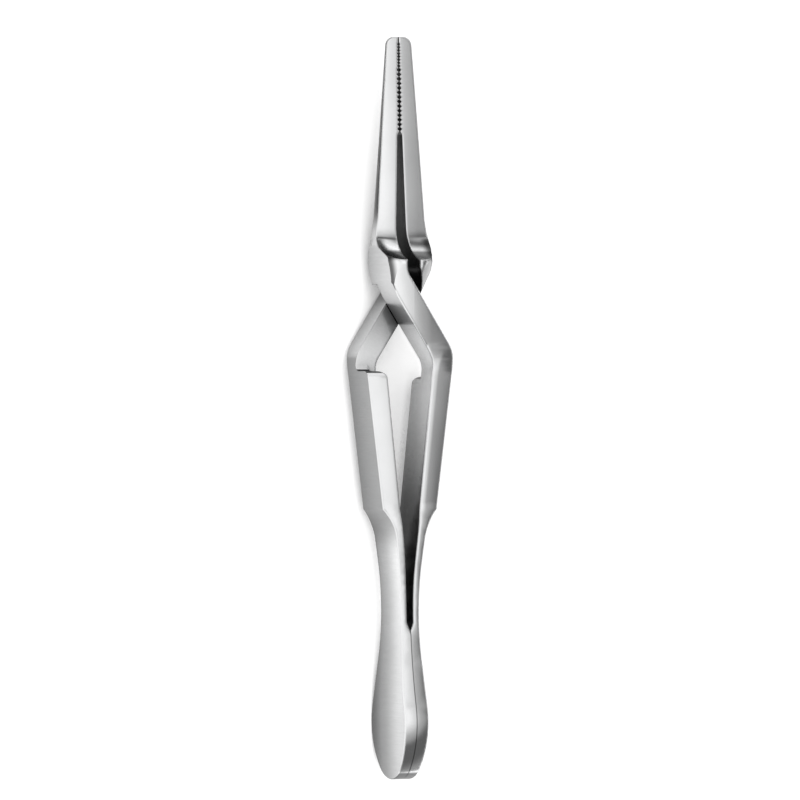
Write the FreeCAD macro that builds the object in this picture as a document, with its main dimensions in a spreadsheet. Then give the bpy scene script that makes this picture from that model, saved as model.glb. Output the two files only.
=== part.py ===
import FreeCAD, Part
import math
import os

import Sketcher

# A self-closing crossing clamp for the bowel: two forged spring-steel arms, joined face to face at the spoon
# tail, spread into two grips, cross over each other, and meet again in two toothed jaws.
# Each arm is drawn in its own frame: X is the spread from the middle plane, Y the length from the tail end,
# and Z the width of the strip. The placement then stands the clamp on its back edge, centred on its length.

DIMENSIONS = {
    "overall_length": 150.0,
    # Thickness of one arm at the tail and in the spring leaf
    "tail_thickness": 2.78,
    "tail_thickest_at": 13.0,
    "tail_crown_radius": 157.0,
    "leaf_thickness": 2.12,
    "leaf_thinnest_at": 32.0,
    "leaf_end": 48.6,
    # Gap between the arms, from the end of the seam to the grips
    "seam_length": 30.1,
    "gap_foot_length": 1.6,
    "gap_foot_half": 0.69,
    "gap_turn_forward": 9.1,
    "gap_turn_radius": 132.0,
    # Grips and their bends
    "shoulder_at": 54.5,
    "shoulder_spread": 6.2,
    "bend_outer_at": 85.0,
    "bend_outer_spread": 10.1,
    "bend_outer_radius": 8.0,
    "bend_inner_at": 83.9,
    "bend_inner_spread": 5.3,
    "bend_inner_radius": 4.0,
    # Crossing bars and the gap between the jaws
    "jaw_root_at": 102.6,
    "root_side_half": 5.06,
    "root_side_back": 2.4,
    "root_side_forward": 2.6,
    "jaw_side_half": 6.9,
    "jaw_side_forward": 6.8,
    "root_turn_spread": 3.81,
    "root_turn_back": 5.1,
    "jaw_root_gap_half": 1.43,
    "jaw_root_corner_radius": 4.0,
    "bite_length": 19.1,
    "bite_lead_length": 0.7,
    "bite_lead_gap_half": 0.6,
    "bite_gap_half": 0.15,
    # Half widths of the strip
    "tail_half_width": 7.35,
    "tail_widest_at": 11.4,
    "tail_end_radius": 5.41,
    "waist_at": 37.0,
    "leaf_swell_half_width": 4.9,
    "leaf_swell_at": 50.8,
    "grip_start": 56.0,
    "grip_half_width": 4.4,
    "grip_end": 81.5,
    "bar_start": 88.5,
    "bar_half_width": 6.2,
    # Where the bars pass each other, halved in width
    "crossing_plane": -0.6,
    "crossing_clearance": 0.3,
    "left_step_at": 82.4,
    "right_step_at": 81.4,
    "step_corner_radius": 1.4,
    "step_front_round": 1.4,
    "step_inner_round": 2.0,
    "left_ledge_back": 4.6,
    "left_ledge_spread": 3.72,
    "right_ledge_back": 2.7,
    "right_ledge_spread": 2.9,
    "ledge_top_forward": 0.6,
    # Turned outside of the jaws
    "jaw_tip_radius": 3.0,
    "jaw_tip_round": 1.8,
    "jaw_mid_forward": 10.3,
    "jaw_mid_radius": 5.4,
    "jaw_foot_forward": 1.9,
    "jaw_foot_radius": 6.75,
    "flare_back": 4.6,
    "flare_radius": 7.75,
    "flare_curve": 18.0,
    "heel_forward": 0.3,
    "heel_radius": 6.35,
    "left_ledge_radius": 4.1,
    "right_ledge_radius": 5.66,
    # Milled front of the jaws
    "front_flat_tip_height": -0.75,
    "front_flat_forward": 9.4,
    "front_flat_end_height": 0.45,
    "runout_radius": 7.3,
    # Teeth of the bite
    "tooth_pitch": 0.92,
    "tooth_mouth": 1.15,
    "tooth_depth": 0.58,
    "tooth_count": 14,
    "fine_tooth_pitch": 0.63,
    "fine_tooth_mouth": 0.86,
    "fine_tooth_depth": 0.44,
    "fine_tooth_count": 8,
    # Softened edges
    "rim_round": 0.4,
    "cut_margin": 3.0,
}

GAP_TURN_AT = "dims.seam_length + dims.gap_foot_length + dims.gap_turn_forward"
BITE_AT = "dims.overall_length - dims.bite_length"
JAW_FOOT_AT = "dims.jaw_root_at + dims.jaw_foot_forward"

doc = FreeCAD.newDocument("crossing_clamp")
sheet = doc.addObject("Spreadsheet::Sheet", "dims")
for row, (alias, number) in enumerate(DIMENSIONS.items(), start=1):
    sheet.set(f"A{row}", str(number))
    sheet.setAlias(f"A{row}", alias)
doc.recompute()


def plane_of(body, role):
    """The body's own origin plane or axis with this role."""
    return next(item for item in body.Origin.OriginFeatures if item.Role == role)


def new_sketch(body, name, role):
    sketch = body.newObject("Sketcher::SketchObject", name)
    sketch.AttachmentSupport = [(plane_of(body, role), "")]
    sketch.MapMode = "FlatFace"
    return sketch


def arc_between(start, end, radius, turn):
    """The short arc from start to end; turn is 1 for a left turn and -1 for a right turn."""
    chord = end - start
    reach = math.sqrt(radius ** 2 - (chord.Length / 2) ** 2)
    across = FreeCAD.Vector(-chord.y, chord.x, 0).normalize()
    centre = start + chord / 2 + across * reach * turn
    first, last = (start, end) if turn > 0 else (end, start)
    angles = [math.atan2(point.y - centre.y, point.x - centre.x) for point in (first, last)]
    if angles[1] < angles[0]:
        angles[1] += 2 * math.pi
    circle = Part.Circle(centre, FreeCAD.Vector(0, 0, 1), radius)
    return Part.ArcOfCircle(circle, angles[0], angles[1])


def draw(sketch, corners):
    """Add a closed outline whose corners and arc radii are bound to the sheet.

    A corner is (x, y) before a straight edge, or (x, y, radius, turn) before an arc, all of them formulas.
    """
    places = [[sketch.evalExpression(formula) for formula in corner[:2]] for corner in corners]
    points = [FreeCAD.Vector(*place, 0) for place in places]
    first_edge = sketch.GeometryCount
    for index, corner in enumerate(corners):
        start = points[index]
        end = points[(index + 1) % len(points)]
        if len(corner) == 2:
            sketch.addGeometry(Part.LineSegment(start, end), False)
        else:
            sketch.addGeometry(arc_between(start, end, sketch.evalExpression(corner[2]), corner[3]), False)
    for index, corner in enumerate(corners):
        edge = first_edge + index
        before = first_edge + (index - 1) % len(corners)
        start_point = 2 if len(corner) > 2 and corner[3] < 0 else 1
        corner_before = corners[index - 1]
        end_point = 1 if len(corner_before) > 2 and corner_before[3] < 0 else 2
        sketch.addConstraint(Sketcher.Constraint("Coincident", before, end_point, edge, start_point))
        bound = (("DistanceX", corner[0], points[index].x), ("DistanceY", corner[1], points[index].y))
        for kind, formula, place in bound:
            number = sketch.addConstraint(Sketcher.Constraint(kind, edge, start_point, place))
            sketch.setExpression(f"Constraints[{number}]", formula)
        if len(corner) > 2:
            radius = sketch.evalExpression(corner[2])
            number = sketch.addConstraint(Sketcher.Constraint("Radius", edge, radius))
            sketch.setExpression(f"Constraints[{number}]", corner[2])


def cut_through(body, sketch, name):
    """A pocket that cuts the sketch right through the body, both ways."""
    before = body.Shape.Volume
    pocket = body.newObject("PartDesign::Pocket", name)
    pocket.Profile = sketch
    pocket.SideType = "Symmetric"
    pocket.setExpression("Length", "dims.overall_length")
    doc.recompute()
    assert pocket.Shape.Volume < before - 1e-3, f"{name} cuts nothing"
    return pocket


def turn_away(body, sketch, name, angle, reverse):
    """A groove about the long axis of the clamp."""
    before = body.Shape.Volume
    groove = body.newObject("PartDesign::Groove", name)
    groove.Profile = sketch
    groove.ReferenceAxis = (sketch, ["V_Axis"])
    groove.Angle = angle
    groove.Reversed = reverse
    doc.recompute()
    assert groove.Shape.Volume < before - 1e-3, f"{name} cuts nothing"
    return groove


def level_arcs(along_0, height_0, along_1, height_1, first_radius):
    """Two arcs that leave one level point and reach another: their meeting point and the second radius."""
    rise = f"abs(({height_1}) - ({height_0}))"
    both_radii = f"((({along_1}) - ({along_0}))^2 + {rise}^2) / (2 * {rise})"
    share = f"({first_radius}) / ({both_radii})"
    meet_along = f"{along_0} + (({along_1}) - ({along_0})) * {share}"
    meet_height = f"{height_0} + (({height_1}) - ({height_0})) * {share}"
    return meet_along, meet_height, f"{both_radii} - ({first_radius})"


def forge_profile(body, side):
    """The arm seen along its width: half tail, leaf, grip, crossing bar and jaw blank."""
    meet_along, meet_spread, hollow_radius = level_arcs(
        "dims.tail_thickest_at", "dims.tail_thickness", "dims.leaf_thinnest_at", "dims.leaf_thickness",
        "dims.tail_crown_radius")
    crown_drop = "sqrt(dims.tail_crown_radius^2 - dims.tail_thickest_at^2)"
    end_spread = f"dims.tail_thickness - dims.tail_crown_radius + {crown_drop}"
    hollow_run = "(dims.leaf_end - dims.leaf_thinnest_at)"
    hollow_drop = f"sqrt(({hollow_radius})^2 - {hollow_run}^2)"
    leaf_spread = f"dims.leaf_thickness + {hollow_radius} - {hollow_drop}"
    out = f"(dims.shoulder_spread - ({leaf_spread}))"
    on = "(dims.shoulder_at - dims.leaf_end)"
    shoulder_bend = f"2 * ({out} * {hollow_drop} - {on} * {hollow_run})"
    shoulder_radius = f"({out}^2 + {on}^2) * ({hollow_radius}) / ({shoulder_bend})"
    sketch = new_sketch(body, "side_profile", "XY_Plane")
    corners = [
        ("0", "0"),
        (end_spread, "0", "dims.tail_crown_radius", 1),
        (meet_spread, meet_along, hollow_radius, -1),
        (leaf_spread, "dims.leaf_end", shoulder_radius, -1),
        ("dims.shoulder_spread", "dims.shoulder_at"),
        ("dims.bend_outer_spread", "dims.bend_outer_at"),
        ("-dims.jaw_root_gap_half", "dims.jaw_root_at"),
        ("-dims.bite_lead_gap_half", f"{BITE_AT} - dims.bite_lead_length"),
        ("-dims.bite_gap_half", BITE_AT),
        ("-dims.bite_gap_half", "dims.overall_length"),
        ("-dims.jaw_side_half", "dims.overall_length"),
        ("-dims.jaw_side_half", "dims.jaw_root_at + dims.jaw_side_forward"),
        ("-dims.root_side_half", "dims.jaw_root_at + dims.root_side_forward"),
        ("-dims.root_side_half", "dims.jaw_root_at - dims.root_side_back"),
        ("-dims.root_turn_spread", "dims.jaw_root_at - dims.root_turn_back"),
        ("dims.bend_inner_spread", "dims.bend_inner_at"),
        ("dims.gap_foot_half", GAP_TURN_AT),
        ("dims.gap_foot_half", "dims.seam_length + dims.gap_foot_length"),
        ("0", "dims.seam_length"),
    ]
    draw(sketch, [(f"{side} * ({corner[0]})", corner[1], *corner[2:3], *(side * turn for turn in corner[3:]))
                  for corner in corners])
    pad = body.newObject("PartDesign::Pad", "forged_blank")
    pad.Profile = sketch
    pad.SideType = "Symmetric"
    pad.setExpression("Length", "2 * dims.tail_half_width + dims.cut_margin")
    doc.recompute()
    for corner in ("bend_outer", "bend_inner"):
        place = (side * sheet.get(f"{corner}_spread"), sheet.get(f"{corner}_at"))
        round_edges(body, f"{corner}_rounded", f"dims.{corner}_radius", stands_at(*place))
    place = (side * sheet.get("gap_foot_half"), sketch.evalExpression(GAP_TURN_AT))
    round_edges(body, "gap_turn_rounded", "dims.gap_turn_radius", stands_at(*place))
    place = (-side * sheet.get("jaw_root_gap_half"), sheet.get("jaw_root_at"))
    round_edges(body, "jaw_root_rounded", "dims.jaw_root_corner_radius", stands_at(*place))


def trim_width(body):
    """The arm seen from its side: spoon tail, waist, grip and the wider crossing."""
    sketch = new_sketch(body, "width_outline", "YZ_Plane")
    end_radius = "dims.tail_end_radius"
    rim_radius = (f"((dims.tail_widest_at - {end_radius})^2 + dims.tail_half_width^2 - {end_radius}^2)"
                  f" / (2 * (dims.tail_half_width - {end_radius}))")
    end_share = f"({rim_radius}) / ({rim_radius} - {end_radius})"
    end_along = f"dims.tail_widest_at - (dims.tail_widest_at - {end_radius}) * {end_share}"
    end_width = f"({rim_radius} - dims.tail_half_width) * ({end_share} - 1)"
    waist = level_arcs("dims.tail_widest_at", "dims.tail_half_width", "dims.waist_at", "dims.grip_half_width",
                       rim_radius)
    swell_rise = "(dims.leaf_swell_half_width - dims.grip_half_width)"
    first_swell_radius = f"((dims.leaf_swell_at - dims.waist_at)^2 + {swell_rise}^2) / (4 * {swell_rise})"
    swell = level_arcs("dims.waist_at", "dims.grip_half_width", "dims.leaf_swell_at",
                       "dims.leaf_swell_half_width", first_swell_radius)
    second_swell_radius = f"((dims.grip_start - dims.leaf_swell_at)^2 + {swell_rise}^2) / (4 * {swell_rise})"
    sink = level_arcs("dims.leaf_swell_at", "dims.leaf_swell_half_width", "dims.grip_start",
                      "dims.grip_half_width", second_swell_radius)
    widening = "((dims.bar_start - dims.grip_end)^2 / (dims.bar_half_width - dims.grip_half_width)"
    widening_radius = f"{widening} + dims.bar_half_width - dims.grip_half_width) / 4"
    rim = [
        (end_along, end_width, rim_radius, -1),
        (waist[0], waist[1], waist[2], 1),
        ("dims.waist_at", "dims.grip_half_width", first_swell_radius, 1),
        (swell[0], swell[1], swell[2], -1),
        ("dims.leaf_swell_at", "dims.leaf_swell_half_width", second_swell_radius, -1),
        (sink[0], sink[1], sink[2], 1),
        ("dims.grip_start", "dims.grip_half_width"),
        ("dims.grip_end", "dims.grip_half_width", widening_radius, 1),
        ("(dims.grip_end + dims.bar_start) / 2", "(dims.grip_half_width + dims.bar_half_width) / 2",
         widening_radius, -1),
        ("dims.bar_start", "dims.bar_half_width"),
        ("dims.overall_length + dims.cut_margin", "dims.bar_half_width"),
    ]
    far_edge = "(dims.tail_half_width + dims.cut_margin)"
    beyond_tail = "-dims.cut_margin"
    beyond_tip = "dims.overall_length + dims.cut_margin"
    for sign in (1, -1):
        edge = [(along, f"{sign} * ({across})", *more[:1], *(sign * turn for turn in more[1:]))
                for along, across, *more in rim]
        tail_tip = [("0", "0", end_radius, -sign)]
        far = f"{sign} * {far_edge}"
        blank = [(beyond_tip, far), (beyond_tail, far), (beyond_tail, "0")]
        draw(sketch, tail_tip + edge + blank)
    cut_through(body, sketch, "width_trimmed")


def on_rim(edge):
    """A test for the edges along the arm between its side faces and its width, up to the jaw root."""
    box = edge.BoundBox
    along = box.YLength > 0.05
    at_seam = box.XLength < 0.02 and abs(box.Center.x) < 0.01
    return along and not at_seam and box.YMax < sheet.get("jaw_root_at")


def halve_bar(body, arm, front):
    """Cut away half the width between the grip and the jaw, so that the other arm's bar can pass."""
    sketch = new_sketch(body, "passing_notch", "YZ_Plane")
    step_at = f"dims.{arm}_step_at"
    ledge_at = f"dims.jaw_root_at - dims.{arm}_ledge_back"
    face = f"dims.crossing_plane + {front} * dims.crossing_clearance / 2"
    far_edge = f"{-front} * (dims.tail_half_width + dims.cut_margin)"
    round_start = f"{step_at} - dims.step_front_round"
    draw(sketch, [
        (round_start, far_edge),
        (round_start, f"{-front} * dims.grip_half_width", "dims.step_front_round", front),
        (step_at, f"{-front} * (dims.grip_half_width - dims.step_front_round)"),
        (step_at, f"{face} - {front} * dims.step_corner_radius", "dims.step_corner_radius", -front),
        (f"{step_at} + dims.step_corner_radius", face),
        (ledge_at, face),
        (ledge_at, far_edge),
    ])
    cut_through(body, sketch, "passing_notch_cut")


def cut_from_face(body, front, name, corners):
    """A pocket from the plane where the bars pass to the side that the notch is on."""
    sketch = new_sketch(body, f"{name}_shape", "XY_Plane")
    face = f"dims.crossing_plane + {front} * dims.crossing_clearance / 2"
    sketch.setExpression("AttachmentOffset.Base.z", face)
    draw(sketch, corners)
    before = body.Shape.Volume
    pocket = body.newObject("PartDesign::Pocket", name)
    pocket.Profile = sketch
    pocket.Reversed = front < 0
    pocket.setExpression("Length", "dims.tail_half_width")
    doc.recompute()
    assert pocket.Shape.Volume < before - 1e-3, f"{name} cuts nothing"


def slant_ledge(body, arm, side, front):
    """Cut the heel of the jaw along the edge of the bar that passes it."""
    ledge_at = f"dims.jaw_root_at - dims.{arm}_ledge_back"
    beyond = f"{side} * dims.cut_margin"
    cut_from_face(body, front, "ledge_slanted", [
        (beyond, ledge_at),
        (beyond, "dims.jaw_root_at + dims.ledge_top_forward"),
        (f"{-side} * dims.jaw_root_gap_half", "dims.jaw_root_at + dims.ledge_top_forward"),
        (f"{-side} * dims.{arm}_ledge_spread", ledge_at),
    ])


def round_step(body, arm, side, front):
    """Round the inner top corner of the full-width grip."""
    step_at = f"dims.{arm}_step_at"
    slope = f"(dims.bend_inner_spread - dims.gap_foot_half) / (dims.bend_inner_at - ({GAP_TURN_AT}))"
    inner = f"(dims.gap_foot_half + {slope} * ({step_at} - dims.step_inner_round - ({GAP_TURN_AT})))"
    beyond = f"{side} * ({inner} - dims.step_inner_round)"
    cut_from_face(body, front, "step_corner_rounded", [
        (f"{side} * {inner}", f"{step_at} - dims.step_inner_round", "dims.step_inner_round", -side),
        (f"{side} * ({inner} + dims.step_inner_round)", step_at),
        (f"{side} * ({inner} + dims.step_inner_round)", f"{step_at} + dims.step_inner_round"),
        (beyond, f"{step_at} + dims.step_inner_round"),
        (beyond, f"{step_at} - dims.step_inner_round"),
    ])


def turn_jaw(body, arm, front):
    """Round the outside of the jaw, its root and its heel about the long axis of the clamp."""
    beyond = "2 * dims.bar_half_width + dims.cut_margin"
    outside = new_sketch(body, "jaw_outside", "XY_Plane")
    draw(outside, [
        ("dims.jaw_foot_radius", JAW_FOOT_AT),
        ("dims.jaw_mid_radius", "dims.jaw_root_at + dims.jaw_mid_forward"),
        ("dims.jaw_tip_radius", "dims.overall_length - dims.jaw_tip_round", "dims.jaw_tip_round", 1),
        ("dims.jaw_tip_radius - dims.jaw_tip_round", "dims.overall_length"),
        ("dims.jaw_tip_radius - dims.jaw_tip_round", "dims.overall_length + dims.cut_margin"),
        (beyond, "dims.overall_length + dims.cut_margin"),
        (beyond, JAW_FOOT_AT),
    ])
    turn_away(body, outside, "jaw_turned", 360, False)
    flare = new_sketch(body, "root_flare", "XY_Plane")
    draw(flare, [
        ("dims.jaw_foot_radius", JAW_FOOT_AT),
        (beyond, JAW_FOOT_AT),
        (beyond, "dims.jaw_root_at - dims.flare_back"),
        ("dims.flare_radius", "dims.jaw_root_at - dims.flare_back", "dims.flare_curve", 1),
    ])
    turn_away(body, flare, "root_flared", 180, front > 0)
    ledge_at = f"dims.jaw_root_at - dims.{arm}_ledge_back"
    heel = new_sketch(body, "heel_outside", "XY_Plane")
    draw(heel, [
        ("dims.jaw_foot_radius", JAW_FOOT_AT),
        (beyond, JAW_FOOT_AT),
        (beyond, ledge_at),
        (f"dims.{arm}_ledge_radius", ledge_at),
        ("dims.heel_radius", "dims.jaw_root_at + dims.heel_forward"),
    ])
    turn_away(body, heel, "heel_turned", 180, front < 0)


def mill_front(body):
    """Flatten the front of the jaw, with a round run-out at its root."""
    sketch = new_sketch(body, "front_flat", "YZ_Plane")
    high = "dims.tail_half_width + dims.cut_margin"
    flat_end = "dims.jaw_root_at + dims.front_flat_forward"
    runout_centre_height = "(dims.front_flat_end_height + dims.runout_radius)"
    draw(sketch, [
        ("dims.overall_length + dims.cut_margin", high),
        (f"{flat_end} - dims.runout_radius", high),
        (f"{flat_end} - dims.runout_radius", runout_centre_height, "dims.runout_radius", 1),
        (flat_end, "dims.front_flat_end_height"),
        ("dims.overall_length + dims.cut_margin", "dims.front_flat_tip_height"),
    ])
    cut_through(body, sketch, "front_milled")


def cut_teeth(body, side, name, at, count):
    """A row of cross grooves in the bite."""
    pitch, mouth, depth = (f"dims.{name}_{size}" for size in ("pitch", "mouth", "depth"))
    sketch = new_sketch(body, f"{name}_shape", "XY_Plane")
    draw(sketch, [
        (f"{side} * {depth}", f"{at} + {pitch} / 2 - {mouth}"),
        (f"{side} * {depth}", f"{at} + {pitch} / 2 + {mouth}"),
        (f"-{side} * {depth}", f"{at} + {pitch} / 2"),
    ])
    groove = cut_through(body, sketch, f"{name}_groove")
    row = body.newObject("PartDesign::LinearPattern", f"{name}_row")
    row.Originals = [groove]
    row.Direction = (sketch, ["V_Axis"])
    row.setExpression("Occurrences", count)
    row.setExpression("Length", f"({count} - 1) * {pitch}")
    body.Tip = row
    doc.recompute()


def round_edges(body, name, radius, chosen):
    """Round the edges that the test chooses."""
    base = body.Tip
    names = [f"Edge{number}" for number, edge in enumerate(base.Shape.Edges, start=1) if chosen(edge)]
    assert names, f"{name} finds no edge"
    fillet = body.newObject("PartDesign::Fillet", name)
    fillet.Base = (base, names)
    fillet.setExpression("Radius", radius)
    doc.recompute()


def stands_at(across, along):
    """A test for an edge that runs along the width at this place."""
    def test(edge):
        box = edge.BoundBox
        near = abs(box.Center.x - across) < 0.01 and abs(box.Center.y - along) < 0.01
        return near and box.ZLength > 1
    return test


def build_arm(arm, side, front):
    """One arm: side is where its grip lies along X, and front is which half of its bar is kept along Z."""
    body = doc.addObject("PartDesign::Body", f"{arm}_arm")
    body.Label = f"{arm}_arm"
    forge_profile(body, side)
    trim_width(body)
    round_edges(body, "rim_rounded", "dims.rim_round", on_rim)
    halve_bar(body, arm, front)
    slant_ledge(body, arm, side, front)
    round_step(body, arm, side, front)
    turn_jaw(body, arm, front)
    mill_front(body)
    cut_teeth(body, side, "tooth", BITE_AT, "dims.tooth_count")
    fine_teeth_at = f"{BITE_AT} + dims.tooth_count * dims.tooth_pitch"
    cut_teeth(body, side, "fine_tooth", fine_teeth_at, "dims.fine_tooth_count")
    body.setExpression("Placement.Base.y", "-dims.overall_length / 2")
    body.setExpression("Placement.Base.z", "dims.tail_half_width")
    return body


arms = [build_arm("left", -1, -1), build_arm("right", 1, 1)]
doc.recompute()

for item in doc.Objects:
    assert not {"Invalid", "Error"} & set(item.State), f"{item.Name} failed: {item.State}"
for arm in arms:
    assert not arm.Shape.isNull() and arm.Shape.isValid(), f"{arm.Label} is not a sound solid"
    assert len(arm.Shape.Solids) == 1, f"{arm.Label} is in {len(arm.Shape.Solids)} pieces"

os.makedirs("parts", exist_ok=True)
for arm in arms:
    arm.Shape.exportStep(f"parts/{arm.Label}.step")
    box = arm.Shape.BoundBox
    print(arm.Label, f"{arm.Shape.Volume:.1f} mm3", f"X {box.XMin:.2f}..{box.XMax:.2f}",
          f"Y {box.YMin:.2f}..{box.YMax:.2f}", f"Z {box.ZMin:.2f}..{box.ZMax:.2f}")
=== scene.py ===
import math
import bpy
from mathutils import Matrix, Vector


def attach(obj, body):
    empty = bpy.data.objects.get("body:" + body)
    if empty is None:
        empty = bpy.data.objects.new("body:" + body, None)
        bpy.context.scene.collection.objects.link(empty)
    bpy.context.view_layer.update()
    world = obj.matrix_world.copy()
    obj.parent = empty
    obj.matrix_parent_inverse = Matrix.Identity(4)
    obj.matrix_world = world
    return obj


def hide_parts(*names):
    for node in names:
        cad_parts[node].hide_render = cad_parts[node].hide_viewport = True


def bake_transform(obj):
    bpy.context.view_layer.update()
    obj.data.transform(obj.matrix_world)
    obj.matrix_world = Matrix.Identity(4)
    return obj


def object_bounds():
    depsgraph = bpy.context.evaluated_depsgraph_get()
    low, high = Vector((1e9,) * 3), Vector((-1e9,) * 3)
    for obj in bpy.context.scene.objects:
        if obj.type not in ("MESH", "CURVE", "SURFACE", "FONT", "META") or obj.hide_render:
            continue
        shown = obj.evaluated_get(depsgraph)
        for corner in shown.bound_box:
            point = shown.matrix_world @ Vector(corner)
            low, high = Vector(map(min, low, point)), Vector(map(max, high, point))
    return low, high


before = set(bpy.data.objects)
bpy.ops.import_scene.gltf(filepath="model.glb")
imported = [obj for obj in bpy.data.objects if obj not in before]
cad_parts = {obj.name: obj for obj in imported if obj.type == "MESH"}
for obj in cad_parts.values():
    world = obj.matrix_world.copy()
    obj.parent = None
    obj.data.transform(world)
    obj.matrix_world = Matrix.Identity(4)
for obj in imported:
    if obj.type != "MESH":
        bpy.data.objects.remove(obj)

from types import SimpleNamespace

import bmesh
import bpy
from mathutils import Matrix, Vector

# The clamp lies edge on: X across the grips, Y from the tail to the jaw tips, Z up, in metres.
cad_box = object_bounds()
MM = 0.001
TAIL_Y = cad_box[0].y
AXIS_Z = (cad_box[0].z + cad_box[1].z) / 2
CLAMP_LENGTH = 150.0 * MM

# Camera, from the photograph: it looks down on the clamp, turned about its length towards the left grip
VIEW_TURN = math.radians(28.0)
VIEW_CENTRE_LENGTH = 76.6 * MM
FRAME_HEIGHT = 161.6 * MM
CAMERA_DISTANCE = 1.6
CLIP_NEAR = 0.01
CLIP_FAR = 20.0
SENSOR = 36.0

# Where the left spring leaf bends, measured from the tail end
LEAF_START = 31.0 * MM
LEAF_END = 54.0 * MM
LEAF_SLICE = 1.0 * MM
SHARP_ANGLE = math.radians(28.0)
MERGE_DISTANCE = 0.001 * MM
REST_PLACE = "rest_place"

# Ramps are pairs of position and level. A station runs from 0 at the tail end to 1 at the jaw tips.

# Light: level of the surroundings by the sine of their height, which leans along the clamp
SKY_STRENGTH = 1.2
SKY = ((0.2, 0.1), (0.6, 0.1), (0.78, 0.36), (0.9, 0.64), (0.97, 0.88))
JAW_LEAN = 0.1
TAIL_LEAN = 0.36
HORIZON = ((0.1, 1.0), (0.48, 0.0))
HORIZON_ROUND = ((0.3, 0.28), (0.8, 0.8))
LEFT_WALL = ((0.15, 0.0), (0.65, 1.0))
LEFT_WALL_LEVEL = 0.9

# Table, with painted shade between the grips
FLOOR_REACH = 3.0
FLOOR_WHITE = 0.7
FLOOR_LIFT = 0.82
FLOOR_ROUGH = 0.9
FLOOR_SPECULAR = 0.1
FLOOR_SHADE_REACH = 18 * MM
FLOOR_SHADE = ((0.25, 0.3), (0.5, 1.0))
FLOOR_SHADE_SAMPLES = 12

# Steel: which way a face looks
FRONT_FACES = ((0.25, 0.0), (0.75, 1.0))
INNER_FACES = ((0.3, 0.0), (0.8, 1.0))
UPWARD_FACES = ((0.2, 0.0), (0.4, 1.0))

# Steel: painted light and shade of the faces, by their direction and station
FRONT_LIGHTING_TONES = ((0.0, 0.84), (0.6, 0.84), (0.68, 0.9))
OUTER_LIGHTING_TONES = ((0.05, 0.7), (0.3, 0.95), (0.36, 0.33), (0.565, 0.33), (0.573, 0.62), (0.63, 0.56),
               (0.74, 0.6), (0.79, 0.2))
INNER_LIGHTING_TONES = ((0.3, 0.5), (0.5, 1.0), (0.64, 0.9), (0.69, 0.3), (0.74, 0.75))
LEAF_STATIONS = ((0.33, 1.0), (0.37, 0.0))
LEAF_SHADE_TONES = ((0.05, 0.3), (0.35, 0.55), (0.9, 0.85))
STEEP_SHADE_TONES = ((0.68, 1.0), (0.78, 0.22))
CHANNEL_TINTS = (("Red", 0.995), ("Green", 1.0), ("Blue", 1.005))

# Steel: scoops at the jaw roots, and the flared roots behind them, with painted shade on both, by distance
# off the middle plane in cm
CM_PER_METRE = 100.0
SCOOP_AT = 107 * MM
SCOOP_HALF = 2.8 * MM
SCOOP_FADE = ((0.6, 1.0), (1.0, 0.0))
SCOOP_END_SHADE = ((0.36, 0.0), (0.54, 0.85))
SCOOP_HOLLOW = 110.0
ROOT_AT = 102.0 * MM
ROOT_HALF = 3.6 * MM
ROOT_FADE = ((0.9, 1.0), (1.0, 0.0))
ROOT_FACING = 0.68
ROOT_SLANT = ((0.16, 1.0), (0.24, 0.0))
ROOT_SHADE = ((0.36, 0.0), (0.48, 0.85))
HEEL_SHADE = 0.6

# Steel: painted dark reflection on the outer rim of the left jaw, and painted shade on the set-back face
# under the crossing bar
RIM_X = -1.5 * MM
RIM_SHADE = ((0.1, 0.0), (0.3, 0.86))
RIM_STATIONS = ((0.73, 0.0), (0.77, 1.0))
SET_BACK_TOP = 0.5 * MM
SET_BACK_SHADE = ((0.56, 0.0), (0.64, 0.5), (0.66, 0.5), (0.67, 0.0))

# Steel: painted shade in narrow places, clouding, brushing, and the joint line of the tail by distance off
# it in mm
SHADE_REACH = 12 * MM
SHADE_POWER = 1.3
SHADE_SAMPLES = 4
CLOUD_SCALE = 110.0
CLOUD_DETAIL = 3.0
CLOUD_DEPTH = 0.16
BRUSH_SCALE = (900, 7000, 260)
BRUSH_DETAIL = 4.0
NOISE_MIDDLE = 0.5
SIDE_STREAKS = 0.3
FRONT_STREAKS = 0.08
BRUSH_BUMP = 0.12
BRUSH_HEIGHT = 0.02 * MM
BRUSH_ROUGH = 0.12
FRONT_ROUGH = 0.16
SIDE_ROUGH = 0.3
SEAM_LENGTH = 30.1 * MM
SEAM_FLAT = 1.1 * MM
SEAM_TONES = ((0.05, 0.3), (0.17, 1.0))
MM_PER_METRE = 1000.0

# Steel: soft edges, crowned faces, the right grip rounded by distance off its slanted edge in cm, and the
# slopes above the grips
EDGE_SOFTNESS = 0.6 * MM
EDGE_SAMPLES = 4
CROWN = 0.1
CROWN_REACH = 4 * MM
RIGHT_LEAN = 0.028
GRIP_SLANT = 0.113
GRIP_EDGE = 0.45
GRIP_ROUNDING = ((0.1, 0.13), (0.2, 0.0))
GRIP_STATIONS = ((0.34, 0.0), (0.38, 1.0), (0.56, 1.0), (0.58, 0.0))
SLOPE_STATIONS = ((0.536, 0.0), (0.542, 1.0), (0.585, 1.0), (0.592, 0.0))
SLOPE_CLEAR = 3.0 * MM
SLOPE_FLATTENING = 0.9


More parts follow.
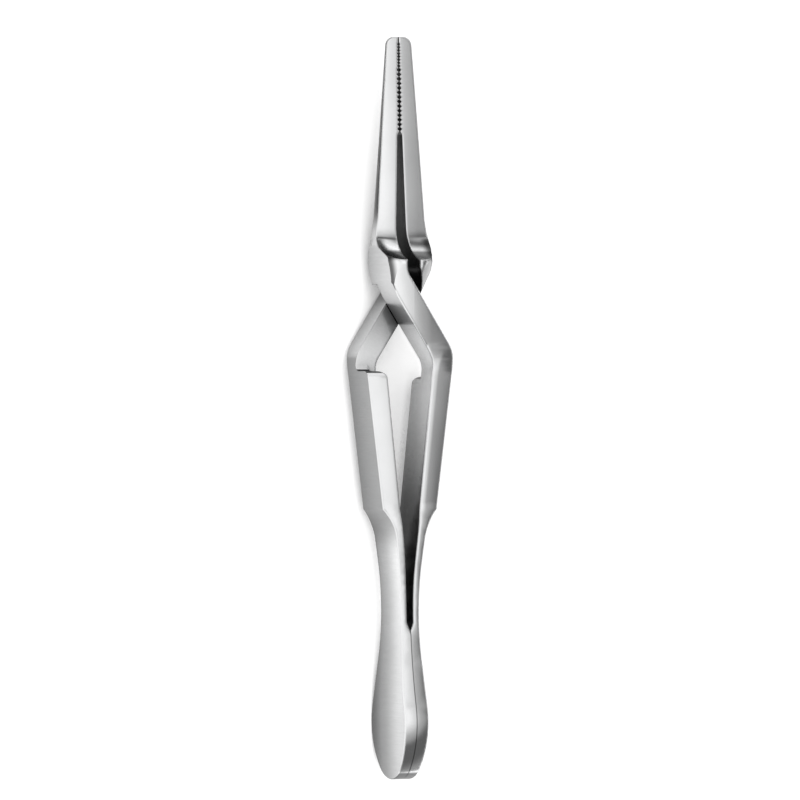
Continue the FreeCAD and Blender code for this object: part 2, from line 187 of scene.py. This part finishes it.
class Nodes:
    """Short ways to add and join the nodes of one node tree."""

    def __init__(self, tree):
        self.tree = tree
        self.link = tree.links.new

    def add(self, kind, **settings):
        node = self.tree.nodes.new(kind)
        for name, setting in settings.items():
            setattr(node, name, setting)
        return node

    def feed(self, sockets, sources):
        for socket, source in zip(sockets, sources):
            if isinstance(source, (int, float)):
                socket.default_value = source
            else:
                self.link(source, socket)

    def calc(self, operation, *sources):
        node = self.add("ShaderNodeMath", operation=operation)
        self.feed(node.inputs, sources)
        return node.outputs[0]

    def times(self, first, *others):
        for other in others:
            first = self.calc("MULTIPLY", first, other)
        return first

    def darkened(self, tone, share):
        return self.times(tone, self.calc("SUBTRACT", 1.0, share))

    def mixed(self, share, first, second):
        """first where share is 0 and second where it is 1."""
        node = self.add("ShaderNodeMix")
        self.feed(node.inputs[:1] + node.inputs[2:4], (share, first, second))
        return node.outputs[0]

    def ramp(self, source, stops, interpolation="EASE"):
        node = self.add("ShaderNodeValToRGB")
        node.color_ramp.interpolation = interpolation
        elements = node.color_ramp.elements
        elements.remove(elements[1])
        elements[0].position = stops[0][0]
        elements[0].color = (stops[0][1], stops[0][1], stops[0][1], 1)
        for position, level in stops[1:]:
            elements.new(position).color = (level, level, level, 1)
        self.link(source, node.inputs[0])
        return node.outputs[0]

    def split(self, vector):
        node = self.add("ShaderNodeSeparateXYZ")
        self.link(vector, node.inputs[0])
        return node.outputs

    def noise(self, vector, scale, detail):
        node = self.add("ShaderNodeTexNoise")
        node.inputs["Scale"].default_value = scale
        node.inputs["Detail"].default_value = detail
        self.link(vector, node.inputs["Vector"])
        return node.outputs["Fac"]

    def openness(self, reach, samples):
        """1 in the open, and towards 0 in narrow places."""
        node = self.add("ShaderNodeAmbientOcclusion", samples=samples)
        node.inputs["Distance"].default_value = reach
        return node.outputs["AO"]


def make_camera():
    middle = Vector((0, TAIL_Y + VIEW_CENTRE_LENGTH, AXIS_Z))
    right = Vector((math.cos(VIEW_TURN), 0, math.sin(VIEW_TURN)))
    up = Vector((0, 1, 0))
    back = right.cross(up)
    data = bpy.data.cameras.new("photo_camera")
    camera = bpy.data.objects.new("photo_camera", data)
    bpy.context.scene.collection.objects.link(camera)
    turned = Matrix((right, up, back)).transposed().to_4x4()
    camera.matrix_world = Matrix.Translation(middle + back * CAMERA_DISTANCE) @ turned
    data.sensor_width = SENSOR
    data.lens = SENSOR * CAMERA_DISTANCE / FRAME_HEIGHT
    data.clip_start = CLIP_NEAR
    data.clip_end = CLIP_FAR
    bpy.context.scene.camera = camera


def make_world():
    """A large softbox overhead, a darker room below it, a pale horizon and a pale wall on the left."""
    world = bpy.data.worlds.new("studio")
    bpy.context.scene.world = world
    world.use_nodes = True
    nodes = Nodes(world.node_tree)
    towards = nodes.split(nodes.add("ShaderNodeTexCoord").outputs["Generated"])
    tail_side = nodes.times(nodes.calc("MINIMUM", towards["Y"], 0.0), TAIL_LEAN)
    jaw_side = nodes.times(nodes.calc("MAXIMUM", towards["Y"], 0.0), JAW_LEAN)
    leaned = nodes.calc("ADD", towards["Z"], nodes.calc("ADD", tail_side, jaw_side))
    sky = nodes.ramp(leaned, SKY)
    # The horizon is paler beyond the jaws than before the tail
    horizon = nodes.ramp(towards["Z"], HORIZON)
    round_level = nodes.ramp(nodes.calc("ADD", nodes.times(towards["Y"], 0.5), 0.5), HORIZON_ROUND)
    sky = nodes.mixed(horizon, sky, round_level)
    left_wall = nodes.ramp(nodes.times(towards["X"], -1.0), LEFT_WALL)
    sky = nodes.mixed(left_wall, sky, LEFT_WALL_LEVEL)
    # The lens sees plain white where the table ends
    sky = nodes.mixed(nodes.add("ShaderNodeLightPath").outputs["Is Camera Ray"], sky, 1 / SKY_STRENGTH)
    background = world.node_tree.nodes["Background"]
    nodes.link(sky, background.inputs["Color"])
    background.inputs["Strength"].default_value = SKY_STRENGTH


def make_floor():
    """A plain white table that shows its own white to the lens and in the metal, keeps the shadow, and has
    painted shade between the grips.
    """
    corners = [(-FLOOR_REACH, -FLOOR_REACH, 0), (FLOOR_REACH, -FLOOR_REACH, 0),
               (FLOOR_REACH, FLOOR_REACH, 0), (-FLOOR_REACH, FLOOR_REACH, 0)]
    mesh = bpy.data.meshes.new("floor")
    mesh.from_pydata(corners, [], [(0, 1, 2, 3)])
    floor = bpy.data.objects.new("floor", mesh)
    bpy.context.scene.collection.objects.link(floor)
    material = bpy.data.materials.new("white_table")
    material.use_nodes = True
    nodes = Nodes(material.node_tree)
    shader = material.node_tree.nodes["Principled BSDF"]
    shader.inputs["Roughness"].default_value = FLOOR_ROUGH
    shader.inputs["Specular IOR Level"].default_value = FLOOR_SPECULAR
    shader.inputs["Emission Color"].default_value = (1, 1, 1, 1)
    path = nodes.add("ShaderNodeLightPath").outputs
    seen = nodes.calc("MAXIMUM", path["Is Camera Ray"], path["Is Glossy Ray"])
    seen = nodes.calc("MAXIMUM", seen, path["Is Transmission Ray"])
    # Painted shade: only the floor between the grips, shut in on two sides, goes deep grey
    shade = nodes.ramp(nodes.openness(FLOOR_SHADE_REACH, FLOOR_SHADE_SAMPLES), FLOOR_SHADE, "LINEAR")
    nodes.link(nodes.times(seen, shade, FLOOR_LIFT), shader.inputs["Emission Strength"])
    paper = nodes.add("ShaderNodeCombineColor")
    for channel in paper.inputs:
        nodes.link(nodes.times(shade, FLOOR_WHITE), channel)
    nodes.link(paper.outputs[0], shader.inputs["Base Color"])
    mesh.materials.append(material)


def find_places(nodes):
    """Sockets that tell where on the clamp a point lies, and which way its face looks."""
    here = SimpleNamespace()
    at_rest = nodes.add("ShaderNodeAttribute", attribute_name=REST_PLACE).outputs["Vector"]
    here.where = nodes.split(at_rest)
    here.facing = nodes.split(nodes.add("ShaderNodeTexCoord").outputs["Normal"])
    here.along = nodes.calc("SUBTRACT", here.where["Y"], TAIL_Y)
    here.station = nodes.times(here.along, 1 / CLAMP_LENGTH)
    here.off_middle = nodes.calc("ABSOLUTE", here.where["X"])
    here.on_right = nodes.calc("GREATER_THAN", here.where["X"], 0.0)
    here.on_tail = nodes.calc("LESS_THAN", here.along, SEAM_LENGTH)
    # 1 on the front and back faces, 0 on the sides
    here.front = nodes.ramp(nodes.calc("ABSOLUTE", here.facing["Z"]), FRONT_FACES)
    # 1 on faces that look at the middle plane of the clamp
    outwards = nodes.times(nodes.calc("SIGN", here.where["X"]), here.facing["X"])
    here.inner = nodes.ramp(nodes.times(outwards, -1.0), INNER_FACES)
    off_scoop = nodes.calc("ABSOLUTE", nodes.calc("SUBTRACT", here.along, SCOOP_AT))
    here.scoop = nodes.ramp(nodes.times(off_scoop, 1 / SCOOP_HALF), SCOOP_FADE)
    stretched = nodes.add("ShaderNodeMapping")
    stretched.inputs["Scale"].default_value = BRUSH_SCALE
    nodes.link(at_rest, stretched.inputs["Vector"])
    here.brush = nodes.noise(stretched.outputs[0], 1.0, BRUSH_DETAIL)
    here.cloud = nodes.noise(at_rest, CLOUD_SCALE, CLOUD_DETAIL)
    soft = nodes.add("ShaderNodeBevel", samples=EDGE_SAMPLES)
    soft.inputs["Radius"].default_value = EDGE_SOFTNESS
    here.soft_normal = soft.outputs[0]
    return here


def painted_face_light(nodes, here):
    """Painted light and shade of each face by its direction and station."""
    height = nodes.times(here.where["Z"], 0.5 / AXIS_Z)
    outer = nodes.ramp(here.station, OUTER_LIGHTING_TONES)
    # Painted shade: the leaves and the tail darken towards their back edge
    leaf = nodes.mixed(nodes.ramp(here.station, LEAF_STATIONS), 1.0, nodes.ramp(height, LEAF_SHADE_TONES))
    outer = nodes.times(outer, leaf)
    # Painted light and shade differ between outer, inner and front faces
    side = nodes.mixed(here.inner, outer, nodes.ramp(here.station, INNER_LIGHTING_TONES))
    tone = nodes.mixed(here.front, side, nodes.ramp(here.station, FRONT_LIGHTING_TONES))
    # Painted shade on steep faces: the ends of the scoops, the jaw tips and the tail end
    steep = nodes.ramp(nodes.calc("ABSOLUTE", here.facing["Y"]), STEEP_SHADE_TONES)
    return nodes.times(tone, steep)


def painted_zone_shade(nodes, here, tone):
    """Painted shade on the scoop ends, flared jaw roots and set-back face, and a painted dark reflection on
    the left jaw rim.
    """
    off_middle_cm = nodes.times(here.off_middle, CM_PER_METRE)
    # Painted shade on the outer ends of the scoops, where they look upwards
    upward = nodes.ramp(here.facing["Z"], UPWARD_FACES)
    scoop_end_shade = nodes.times(nodes.ramp(off_middle_cm, SCOOP_END_SHADE), upward)
    tone = nodes.darkened(tone, nodes.times(here.scoop, scoop_end_shade))
    # Painted shade: the flared jaw roots, between front and side, go dark towards the outside
    off_root = nodes.calc("ABSOLUTE", nodes.calc("SUBTRACT", here.along, ROOT_AT))
    off_slant = nodes.calc("ABSOLUTE", nodes.calc("SUBTRACT", here.facing["Z"], ROOT_FACING))
    near_root = nodes.ramp(nodes.times(off_root, 1 / ROOT_HALF), ROOT_FADE)
    root = nodes.times(near_root, nodes.ramp(off_slant, ROOT_SLANT))
    heel = nodes.times(here.on_right, HEEL_SHADE)
    root_shade = nodes.calc("MAXIMUM", nodes.ramp(off_middle_cm, ROOT_SHADE), heel)
    tone = nodes.darkened(tone, nodes.times(root, root_shade))
    # Painted dark reflection on the rounded outer edge of the left jaw
    rounding = nodes.split(here.soft_normal)
    rim = nodes.ramp(nodes.times(rounding["X"], -1.0), RIM_SHADE)
    on_left = nodes.calc("LESS_THAN", here.where["X"], RIM_X)
    tone = nodes.darkened(tone, nodes.times(rim, on_left, nodes.ramp(here.station, RIM_STATIONS)))
    # Painted shade on the set-back face under the crossing bar
    low = nodes.calc("LESS_THAN", here.where["Z"], AXIS_Z + SET_BACK_TOP)
    return nodes.darkened(tone, nodes.times(here.front, low, nodes.ramp(here.station, SET_BACK_SHADE)))


def shade_and_finish_tone(nodes, here, tone):
    """Painted shade in narrow places, clouding, brushing and the joint line of the tail."""
    tone = nodes.times(tone, nodes.calc("POWER", nodes.openness(SHADE_REACH, SHADE_SAMPLES), SHADE_POWER))
    clouding = nodes.calc("ADD", nodes.times(here.cloud, CLOUD_DEPTH), 1 - CLOUD_DEPTH / 2)
    depth = nodes.calc("SUBTRACT", SIDE_STREAKS, nodes.times(here.front, SIDE_STREAKS - FRONT_STREAKS))
    streaks = nodes.times(nodes.calc("SUBTRACT", here.brush, NOISE_MIDDLE), depth)
    tone = nodes.times(tone, clouding, nodes.calc("ADD", streaks, 1.0))
    seam = nodes.ramp(nodes.times(here.off_middle, MM_PER_METRE), SEAM_TONES)
    seam = nodes.calc("ADD", nodes.times(seam, here.on_tail), nodes.calc("SUBTRACT", 1.0, here.on_tail))
    return nodes.times(tone, seam)


def lean_of_faces(nodes, here):
    """How far faces lean from the solid's own: crowned fronts, hollow scoops, rounded grip, flat slopes."""
    across = nodes.add("ShaderNodeMapRange")
    nodes.link(here.where["X"], across.inputs["Value"])
    limits = (("From Min", -CROWN_REACH), ("From Max", CROWN_REACH), ("To Min", -CROWN), ("To Max", CROWN))
    for name, limit in limits:
        across.inputs[name].default_value = limit
    right_half = nodes.times(here.on_right, RIGHT_LEAN)
    hollow = nodes.times(here.where["X"], here.scoop, SCOOP_HOLLOW)
    sideways = nodes.calc("SUBTRACT", nodes.calc("ADD", across.outputs[0], right_half), hollow)
    # The right grip rounds over towards its inner edge, which slants with the grip
    off_edge = nodes.calc("SUBTRACT", here.where["X"], nodes.times(here.along, GRIP_SLANT))
    band = nodes.ramp(nodes.calc("ADD", nodes.times(off_edge, CM_PER_METRE), GRIP_EDGE), GRIP_ROUNDING)
    band = nodes.times(band, here.on_right, nodes.ramp(here.station, GRIP_STATIONS))
    sideways = nodes.calc("SUBTRACT", sideways, band)
    clear = nodes.calc("GREATER_THAN", here.off_middle, SLOPE_CLEAR)
    flattening = nodes.times(here.facing["Y"], SLOPE_FLATTENING)
    slope = nodes.times(nodes.ramp(here.station, SLOPE_STATIONS), clear, here.front, flattening)
    lengthways = nodes.calc("SUBTRACT", 0.0, slope)
    lean = nodes.add("ShaderNodeCombineXYZ")
    nodes.feed(lean.inputs, (sideways, lengthways))
    return lean.outputs[0]


def steel_normal(nodes, here):
    """Soft edges, fine brushing and the lean of the faces."""
    # The halves of the tail meet flush, without rounded edges at the joint line
    flush = nodes.add("ShaderNodeMix", data_type="VECTOR")
    near_seam = nodes.calc("LESS_THAN", here.off_middle, SEAM_FLAT)
    true_normal = nodes.add("ShaderNodeNewGeometry").outputs["Normal"]
    nodes.link(nodes.times(here.on_tail, near_seam), flush.inputs["Factor"])
    nodes.feed(flush.inputs[4:6], (here.soft_normal, true_normal))
    bump = nodes.add("ShaderNodeBump")
    bump.inputs["Strength"].default_value = BRUSH_BUMP
    bump.inputs["Distance"].default_value = BRUSH_HEIGHT
    nodes.link(here.brush, bump.inputs["Height"])
    nodes.link(flush.outputs[1], bump.inputs["Normal"])
    leaned = nodes.add("ShaderNodeVectorMath", operation="ADD")
    nodes.feed(leaned.inputs, (bump.outputs[0], lean_of_faces(nodes, here)))
    unit = nodes.add("ShaderNodeVectorMath", operation="NORMALIZE")
    nodes.link(leaned.outputs[0], unit.inputs[0])
    return unit.outputs[0]


def make_steel():
    """Surgical steel: satin sides with fine cross brushing, front faces painted brighter, painted shade in
    places, and softened edges.
    """
    material = bpy.data.materials.new("surgical_steel")
    material.use_nodes = True
    nodes = Nodes(material.node_tree)
    shader = material.node_tree.nodes["Principled BSDF"]
    here = find_places(nodes)
    tone = shade_and_finish_tone(nodes, here, painted_zone_shade(nodes, here, painted_face_light(nodes, here)))
    colour = nodes.add("ShaderNodeCombineColor")
    for channel, tint in CHANNEL_TINTS:
        nodes.link(nodes.times(tone, tint), colour.inputs[channel])
    nodes.link(colour.outputs[0], shader.inputs["Base Color"])
    shader.inputs["Metallic"].default_value = 1.0
    smooth = nodes.calc("SUBTRACT", SIDE_ROUGH, nodes.times(here.front, SIDE_ROUGH - FRONT_ROUGH))
    brushed = nodes.times(nodes.calc("SUBTRACT", here.brush, NOISE_MIDDLE), BRUSH_ROUGH)
    nodes.link(nodes.calc("ADD", smooth, brushed), shader.inputs["Roughness"])
    nodes.link(steel_normal(nodes, here), shader.inputs["Normal"])
    return material


def copy_of_node(node, name):
    """A new piece with the shape of a CAD node."""
    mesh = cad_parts[node].data.copy()
    mesh.name = name
    piece = bpy.data.objects.new(name, mesh)
    bpy.context.scene.collection.objects.link(piece)
    return piece


def slice_and_smooth(piece, slices):
    """Cuts across the piece at each place along Y, and smooth shading except over sharp edges."""
    work = bmesh.new()
    work.from_mesh(piece.data)
    bmesh.ops.remove_doubles(work, verts=work.verts, dist=MERGE_DISTANCE)
    for along in slices:
        everything = work.verts[:] + work.edges[:] + work.faces[:]
        bmesh.ops.bisect_plane(work, geom=everything, dist=MERGE_DISTANCE / 10, plane_co=(0, along, 0),
                               plane_no=(0, 1, 0))
    for face in work.faces:
        face.smooth = True
    for edge in work.edges:
        edge.smooth = edge.calc_face_angle(0.0) < SHARP_ANGLE
    work.to_mesh(piece.data)
    work.free()


def dress(piece, steel):
    """Steel, and each point's place at rest, so that the finish and its painted light and shade move with
    the arm.
    """
    places = piece.data.attributes.new(REST_PLACE, "FLOAT_VECTOR", "POINT")
    for number, point in enumerate(piece.data.vertices):
        places.data[number].vector = point.co
    piece.data.materials.clear()
    piece.data.materials.append(steel)


make_camera()
make_world()
make_floor()
steel = make_steel()

left = copy_of_node("left_arm", "left_arm_sprung")
count = round((LEAF_END - LEAF_START) / LEAF_SLICE)
slice_and_smooth(left, [TAIL_Y + LEAF_START + LEAF_SLICE * step for step in range(count + 1)])
dress(left, steel)
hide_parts("left_arm")
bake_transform(left)

right = copy_of_node("right_arm", "right_arm_fixed")
slice_and_smooth(right, [])
dress(right, steel)
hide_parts("right_arm")
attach(right, "right_arm")

bpy.context.scene.view_settings.view_transform = "Standard"
